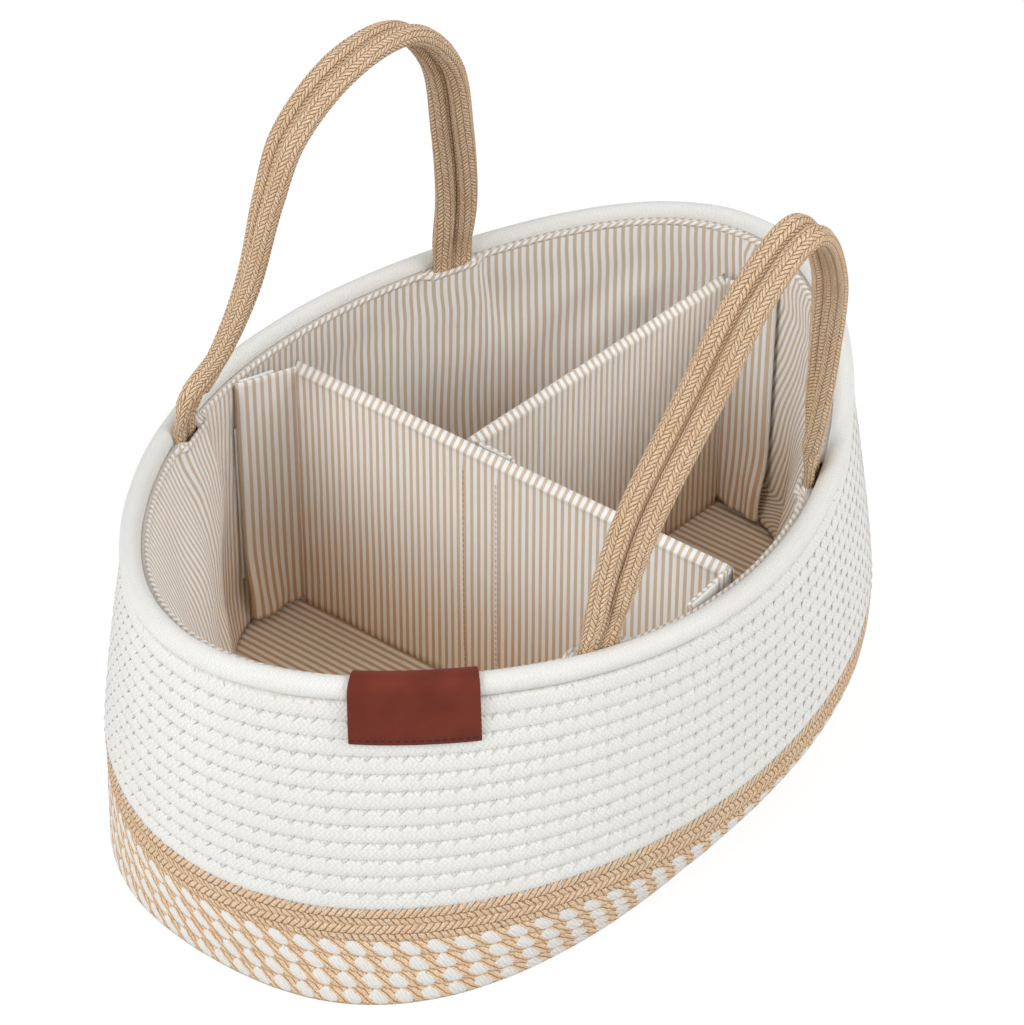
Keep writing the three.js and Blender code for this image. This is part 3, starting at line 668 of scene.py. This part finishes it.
def lining_wall():
    """The hanging cloth, with stripes at their true distances along each row"""
    columns, rows = 480, 64

    def place(u, v):
        angle = INSIDE.angle(u * INSIDE.length * 0.999999)
        top = rim_height(angle) - HEM_DROP
        height = lerp(LINING_BOTTOM, top, min(1, v / SEWN_FROM))
        inset = lining_inset(angle, height, top)
        sewn = ease(v, SEWN_FROM, 1) * ease(degrees_from(angle, STRAP_ANGLES), 2.2, 2.9)
        return oval_point(angle, lerp(inset, RIM_INSET + RIM_RADIUS - 0.2, sewn), height)

    lengths = []
    for row in range(rows + 1):
        line = np.array([place(i / columns, row / rows) for i in range(columns + 1)])
        steps = np.linalg.norm(np.diff(line, axis=0), axis=1)
        lengths.append(np.concatenate([[0], np.cumsum(steps)]))
    top = lengths[int(rows * SEWN_FROM)]

    def chart(u, v):
        column = round(u * columns)
        drift = lengths[round(v * rows)][column] - top[column]
        return (top[column] + CLOTH_DRIFT * drift) * MM, v * 0.143

    piece = cloth_grid("lining_cloth", columns, rows, place, chart)
    return thicken(piece, 1.1)


def hem_piping():
    """The rolled top edge of the lining"""

    def place(u, v):
        angle = INSIDE.angle(u * INSIDE.length * 0.999999)
        top = rim_height(angle) - HEM_DROP
        inset = lining_inset(angle, top, top)
        turn = v * FULL
        return oval_point(angle, inset + 1.3 * math.cos(turn), top - 0.3 + 1.3 * math.sin(turn))

    return cloth_grid("lining_hem", 480, 8, place, (round(INSIDE.length / STRIPE) * STRIPE * MM, 0.0094))


def lining_floor():
    """The cloth on the floor, a disc that is laid from its middle"""
    def place(u, v):
        edge = oval_point(u * FULL, FLOOR_INSET + 0.2, 0)
        x, y = edge.x * v, edge.y * v
        swell = 0.5 + 0.5 * rough(x, y, size=24)
        return Vector((x, y, FLOOR_TOP - 0.75 + 0.5 * swell * (1 - v ** 4)))

    piece = cloth_grid("lining_base", 96, 24, place, (1, 1))
    chart = piece.data.uv_layers["UVMap"].data
    for corner in piece.data.loops:
        spot = piece.data.vertices[corner.vertex_index].co
        chart[corner.index].uv = (spot.x + 0.2, spot.y + 0.2)
    return thicken(piece, 1.0)


# Dividers

MAIN_RIGHT, MAIN_LEFT = Vector((0, -117, 0)), Vector((0, 108, 0))
MAIN_THICKNESS, SIDE_THICKNESS = 7, 6
MAIN_SEAMS = (115, 132)
MAIN_TOP, SIDE_TOP = 139.0, 135.0
SIDE_NEAR, SIDE_FAR = Vector((4.4, 20, 0)), Vector((169.1, 6, 0))
FLAP_FOOT, TAPE_FOOT, TAPE_WIDTH = 17, 4, 18


def soft_panel(name, near, far, thickness, top, seams=()):
    """A padded panel between two points: a closed cover, rounded over the top and pinched at its ends.
    Seams are the distances along it at which it is sewn through."""
    along = (far - near).normalized()
    face = Vector((-along.y, along.x, 0))
    length = (far - near).length
    height = top - LINING_BOTTOM
    girth = 2 * height + thickness

    def place(u, v):
        walk = v * girth
        side = 1 if walk < height + thickness / 2 else -1
        up = clamp(min(walk, girth - walk), 0, height)
        half = thickness / 2
        edge = min(u, 1 - u) * length
        pinch = math.sqrt(clamp(1 - (1 - min(1, edge / 4.0)) ** 2))
        if abs(walk - height - half) <= half:
            offset = -(walk - height - half)
            up = height - half + math.sqrt(max(0, half ** 2 - offset ** 2))
        else:
            offset = side * half
            up = min(up, height - half)
        swell = 0.35 * rough(u * length / 40, up / 40, side * 5)
        sewn = ease(up, 16, 22) * (1 - ease(up, height - 12, height - 6))
        sunk = sum(0.6 * bump_at(u * length, line, 1.5) * sewn for line in seams)
        offset = (offset + math.copysign(swell - sunk, offset)) * (0.12 + 0.88 * pinch)
        spot = near + along * (u * length) + face * offset
        return Vector((spot.x, spot.y, LINING_BOTTOM + up))

    return cloth_grid(name, 240, 60, place, (length * MM, girth * MM), caps=True)


def flap(name, pivot, degrees, length, height, tape_side, give):
    """A cloth flap that runs from its pivot, and the tape on its outer face. Give is how far its foot
    turns off the wall, in degrees."""
    bottom = LINING_BOTTOM + FLAP_FOOT
    top = bottom + height
    foot = LINING_BOTTOM + 3
    pivot = Vector(pivot)

    def spot(run, off, level):
        slack = 1 - ease(level, foot, 52)
        turn = math.radians(degrees + give * slack)
        along = Vector((math.cos(turn), math.sin(turn), 0))
        face = Vector((-along.y, along.x, 0))
        bow = (0.3 + 1.6 * slack) * rough(run / 9, level / 22, degrees) * ease(run, 0, 6)
        point = pivot + along * run + face * (bow + off)
        return Vector((point.x, point.y, level))

    def place(u, v):
        run = lerp(-1.8, length, u)
        curl = 1.9 * tape_side * ease(run, length - 2.2, length)
        return spot(min(run, length - 0.8), curl, lerp(foot, top, v))

    cloth = cloth_grid(f"{name}_cloth", 28, 52, place, ((length + 1.8) * MM, (top - foot) * MM))
    thicken(cloth, 1.4)

    def tape_place(u, v):
        run = length - 2.2 - (TAPE_WIDTH - 2) * (1 - u)
        return spot(run, tape_side * 1.55, lerp(bottom + TAPE_FOOT, top + 0.6, v))

    tape = cloth_grid(f"{name}_tape", 12, 40, tape_place, (TAPE_WIDTH * MM, height * MM))
    thicken(tape, 1.0, 0.3)
    return cloth, tape


# Leather tag


def leather_tag():
    """The strip of leather that is folded over the rim"""
    reach = (oval_point(TAG_ANGLE + 0.01, RIM_INSET, 0) - oval_point(TAG_ANGLE, RIM_INSET, 0)).length / 0.01
    radius = RIM_RADIUS + 1.5
    low = COURSES - (TAG_DROP - 2 * RIM_RADIUS) / WHITE_PITCH

    def place(u, v):
        angle = TAG_ANGLE + (v - 0.5) * TAG_WIDTH / reach
        run = u * TAG_RUN
        turn = math.pi * max(0, 1 - run / TAG_CURVE)
        t = max(0, (run - TAG_CURVE) / (TAG_RUN - TAG_CURVE))
        inset = lerp(RIM_INSET - radius * math.cos(turn), -1.1, t)
        up = radius * math.sin(turn) - (TAG_DROP - RIM_RADIUS) * t
        return oval_point(angle, inset, rim_height(angle) + up, lerp(COURSES, low, t))

    piece = cloth_grid("leather_tag_cover", 60, 48, place, (TAG_RUN * MM, TAG_WIDTH * MM))
    return thicken(piece, 1.5, 0.5)


# Handles

PIVOT_HEIGHT, STRAP_RUN = 155.3, 56
STRAP_INSET = 11.75
LEAN, END_TWIST = math.radians(9), math.radians(68)
BRAID, BRAID_HALF = 4.6, 4.2
PLAIT_COLUMN, PLAIT_PITCH, PLAIT_LEAN = 2.72, 2.1, 3.0
LEFT_ARCH = [(-64, 14), (-50, 44), (-42, 86), (-33, 114), (-6, 135), (27, 136), (54, 109), (68, 66), (77, 24)]
RIGHT_ARCH = [(-66, 20), (-58, 46), (-33, 88), (-10, 125), (17, 140), (45, 106), (58, 57), (65, 20)]


def through(points, t):
    """A point of a smooth curve through a list of points"""
    last = len(points) - 1
    i = min(int(t * last), last - 1)
    w = t * last - i
    b, c = points[i], points[i + 1]
    a = points[i - 1] if i else 2 * b - c
    d = points[i + 2] if i + 2 <= last else 2 * c - b
    before, here, after = (abs((q - p).length) ** 0.5 for p, q in ((a, b), (b, c), (c, d)))
    leave = ((b - a) / before - (c - a) / (before + here) + (c - b) / here) * here
    arrive = ((c - b) / here - (d - b) / (here + after) + (d - c) / after) * here
    square, cube = 3 * (c - b) - 2 * leave - arrive, 2 * (b - c) + leave + arrive
    return b + leave * w + square * w ** 2 + cube * w ** 3


def belt_frames(side, near, far, arch):
    """Middle, width and thickness directions along a belt, from its near strap end to its far one"""
    ends = [oval_point(math.radians(side * degrees), STRAP_INSET, PIVOT_HEIGHT) for degrees in (near, far)]
    along_ends = (ends[1] - ends[0]).normalized()
    half = (ends[1] - ends[0]).length / 2
    left = Vector((-along_ends.y, along_ends.x, 0))
    up = Vector((0, 0, 1)) * math.cos(LEAN) - left * math.sin(LEAN)
    middle = (ends[0] + ends[1]) / 2
    route = [middle + along_ends * x + up * z for x, z in [(-half, 0), *arch, (half, 0)]]
    frames = []

    def add(spot, along, share):
        rise = left.cross(along) * -1
        twist = -END_TWIST * abs(2 * share - 1) ** 1.2
        width = left * side * math.cos(twist) + rise * math.sin(twist)
        width = (width - along * width.dot(along)).normalized()
        frames.append((spot, width, along.cross(width)))

    stations = 160
    for step in range(14):
        drop = STRAP_RUN - 4 * step
        add(ends[0] - along_ends * 4.2 * ease(drop, 0, 13) - Vector((0, 0, drop)), Vector((0, 0, 1)), 0)
    for step in range(stations + 1):
        t = step / stations
        slope = through(route, min(1, t + 0.004)) - through(route, max(0, t - 0.004))
        upright = Vector((0, 0, 1 if t < 0.5 else -1))
        along = upright.lerp(slope.normalized(), ease(min(t, 1 - t), -0.01, 0.04)).normalized()
        add(through(route, t), along, t)
    for step in range(1, 15):
        add(ends[1] - Vector((0, 0, 4 * step)), Vector((0, 0, -1)), 1)
    return frames


def plait(distance, around):
    """Height of the plaited strands, from 0 to 1, at a place on a belt"""
    lane = (around / PLAIT_COLUMN) % 2
    across = lane % 1
    lie = distance + abs(lane - 1) * PLAIT_LEAN + (PLAIT_PITCH / 2 if lane >= 1 else 0)
    return abs(math.sin(math.pi * lie / PLAIT_PITCH)) ** 0.6 * (4 * across * (1 - across)) ** 0.35


def belt(name, side, near, far, arch):
    """Two plaited ropes side by side, as one belt"""
    frames = belt_frames(side, near, far, arch)
    middles = [f[0] for f in frames]
    steps = [0.0] + [(b - a).length for a, b in zip(middles, middles[1:])]
    distances = np.cumsum(steps)
    table = np.array([[*f[0], *f[1], *f[2]] for f in frames])
    length = float(distances[-1])
    girth = 20 * PLAIT_COLUMN

    @lru_cache(maxsize=4)
    def at(distance):
        row = [float(np.interp(distance, distances, table[:, k])) for k in range(9)]
        return Vector(row[0:3]), Vector(row[3:6]).normalized(), Vector(row[6:9]).normalized()

    def place(u, v):
        distance = u * length
        middle, width, depth = at(distance)
        quarter = min(int(v * 4), 3)
        turn = math.pi * (v * 4 - quarter)
        face = 1 if quarter < 2 else -1
        rope = 1 if quarter in (0, 3) else -1
        outer = math.cos(turn) if quarter in (0, 2) else -math.cos(turn)
        proud = 0.4 * (plait(distance, v * girth) - 0.6) if 0 < v < 1 else 0
        flat = 1 - ease(min(distance, length - distance), 44, 62)
        thick = lerp(BRAID_HALF, 2.0, flat) + proud
        web = 1.2 * ease(-outer, 0.4, 1)
        w = rope * (BRAID + (BRAID + 0.4 * proud) * outer)
        return middle + width * w + depth * face * max(thick * math.sin(turn), web)

    columns = int(length / 0.6)
    return cloth_grid(name, columns, 80, place, (length * MM, girth * MM), caps=True)


# Stage, light and camera

ROOM_LIGHT = 0.65  # on the object, from a room that itself looks white

def camera():
    """Where the photograph was taken from"""
    azimuth, lift = math.radians(-52), math.radians(38.808)
    back = Vector((math.sin(azimuth) * math.cos(lift), -math.cos(azimuth) * math.cos(lift), math.sin(lift)))
    data = bpy.data.cameras.new("camera")
    data.sensor_fit, data.sensor_height, data.lens = "VERTICAL", 36, 126.59
    data.shift_x, data.shift_y = 0.0140, 0.0356
    eye = bpy.data.objects.new("camera", data)
    eye.location = Vector((0, 0, 0.09)) + back * 1.5
    eye.rotation_euler = (-back).to_track_quat("-Z", "Y").to_euler()
    bpy.context.scene.collection.objects.link(eye)
    bpy.context.scene.camera = eye


def area_light(name, place, aim, size, power):
    data = bpy.data.lights.new(name, "AREA")
    data.shape, data.size, data.energy = "DISK", size, power
    lamp = bpy.data.objects.new(name, data)
    lamp.location = place
    lamp.rotation_euler = (Vector(aim) - Vector(place)).to_track_quat("-Z", "Y").to_euler()
    bpy.context.scene.collection.objects.link(lamp)


def stage():
    """A floor that looks white but keeps a shadow, a white room and two soft lamps"""
    shape = bmesh.new()
    bmesh.ops.create_grid(shape, x_segments=1, y_segments=1, size=6)
    mesh = bpy.data.meshes.new("floor")
    shape.to_mesh(mesh)
    shape.free()
    floor = bpy.data.objects.new("floor", mesh)
    bpy.context.scene.collection.objects.link(floor)
    paint = Paint("pale_floor")
    paint.done(base_color=(0.72, 0.72, 0.72, 1), roughness=0.9)
    glow = paint.add("ShaderNodeEmission", {}, {"Color": (1, 1, 1, 1), "Strength": 1.1})
    ground = Wire(paint, paint.shader.outputs[0])
    mixed = paint.add("ShaderNodeMixShader", {}, {0: paint.seen() * 0.8, 1: ground, 2: glow})
    paint.tree.links.new(mixed.socket, paint.tree.nodes["Material Output"].inputs["Surface"])
    floor.data.materials.append(paint.material)

    world = bpy.data.worlds.new("studio")
    bpy.context.scene.world = world
    room = Paint("studio", world)
    room.done(color=(1, 1, 1, 1), strength=ROOM_LIGHT + room.seen() * (1 - ROOM_LIGHT))

    area_light("key", (-1.7, 0.2, 1.2), (0, 0, 0.1), 1.2, 20.5)
    area_light("fill", (0.6, -1.5, 1.3), (0, 0, 0.1), 1.2, 16.4)


camera()
stage()
bpy.context.scene.view_settings.view_transform = "Standard"

# Materials

WHITE = cotton_rope("white_rope_cotton", 2.2, True, True)
RIM = cotton_rope("rim_cotton", 1.5, False, False)
THREAD = white_thread("white_thread")
JUTE = plaited_jute("plaited_jute", 4.5, 2.8, 3.4, ROPE_GIRTH / 2)
BELT = plaited_jute("belt_jute", PLAIT_COLUMN, PLAIT_PITCH, PLAIT_LEAN)
TWO_TONE = two_tone_rope("two_tone_rope")
COTTON = striped_cotton("striped_cotton")
MAIN_FOLD = MAIN_TOP - LINING_BOTTOM + MAIN_THICKNESS / 2
SEWN_COTTON = striped_cotton("sewn_striped_cotton", sewn=MAIN_SEAMS, fold=MAIN_FOLD)
CORD = striped_cotton("striped_hem", 0.2, 0.7)
LEATHER = tag_leather("tag_leather")
TAPE = pile_tape("pile_tape")
BOARD = stiff_board("stiff_board")

# Pieces, with the bodies that carry them and the CAD nodes that they stand for

white = winding("white_rope_wall", WHITE_FROM, COURSES + 0.12, 12 * 300, 14)
dress(white, WHITE, "basket", ["white_courses"])
jute = winding("jute_rope_wall", JUTE_FROM, WHITE_FROM, 2 * 420, 16)
dress(jute, JUTE, "basket", ["jute_courses"])
two_tone = winding("two_tone_rope_wall", 1 / 24, JUTE_FROM, 4 * 420, 14)
dress(two_tone, TWO_TONE, "basket", ["two_tone_courses"])
dress(rim_rope(), RIM, "basket", ["rim_rope"])
dress(seam_thread(), THREAD, "basket")
dress(base_coil(), TWO_TONE, "basket", ["base_coil"])

wall = dress(lining_wall(), COTTON, "basket", ["lining_wall"])
hem = dress(hem_piping(), CORD, "basket")
ground = dress(lining_floor(), COTTON, "basket", ["lining_floor"])

main = soft_panel("main_panel_pad", MAIN_RIGHT, MAIN_LEFT, MAIN_THICKNESS, MAIN_TOP, MAIN_SEAMS)
dress(main, SEWN_COTTON, "main_divider", ["main_panel_cover"])
side = soft_panel("side_panel_pad", SIDE_NEAR, SIDE_FAR, SIDE_THICKNESS, SIDE_TOP)
dress(side, COTTON, "side_divider", ["side_panel_cover"])

MAIN_FLAP, SIDE_FLAP = 110.6, 106.6
flaps = [
    ("main_left", (-4.55, 106.5, 0), 156.08, 26, MAIN_FLAP, -1, 14, "main_flap_left"),
    ("main_right", (-4.55, -115.5, 0), -178.4, 26, MAIN_FLAP, 1, -14, "main_flap_right"),
    ("side_near", (7.45, 15.95, 0), -90, 20, SIDE_FLAP, -1, 3, "side_flap_near"),
    ("side_far", (167.6, 1.95, 0), -90.12, 24, SIDE_FLAP, 1, -14, "side_flap_far"),
]
for name, pivot, degrees, length, height, tape_side, give, body in flaps:
    cloth, tape = flap(name, pivot, degrees, length, height, tape_side, give)
    dress(cloth, COTTON, body, [f"{name}_flap"])
    dress(tape, TAPE, body, [f"{name}_hook_tape"])

LOOP_TAPES = [f"lining_loop_tape_{place}" for place in ("left", "right", "end")] + ["main_panel_loop_tape"]
BOARDS = ["main_panel_board", "side_panel_board"]
for nodes, finish in ((LOOP_TAPES, TAPE), (BOARDS, BOARD)):
    for node in nodes:
        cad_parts[node].data.materials.clear()
        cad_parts[node].data.materials.append(finish)

dress(leather_tag(), LEATHER, "basket", ["leather_tag"])

handles = [
    ("handle_left", 1, 112, 56.5, LEFT_ARCH),
    ("handle_right", -1, 114.7, 66.5, RIGHT_ARCH),
]
for name, side_of, near, far, arch in handles:
    strap = belt(f"{name}_belt", side_of, near, far, arch)
    dress(strap, BELT)
    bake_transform(strap)
    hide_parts(f"{name}_outer_braid", f"{name}_inner_braid", f"{name}_near_end", f"{name}_far_end")
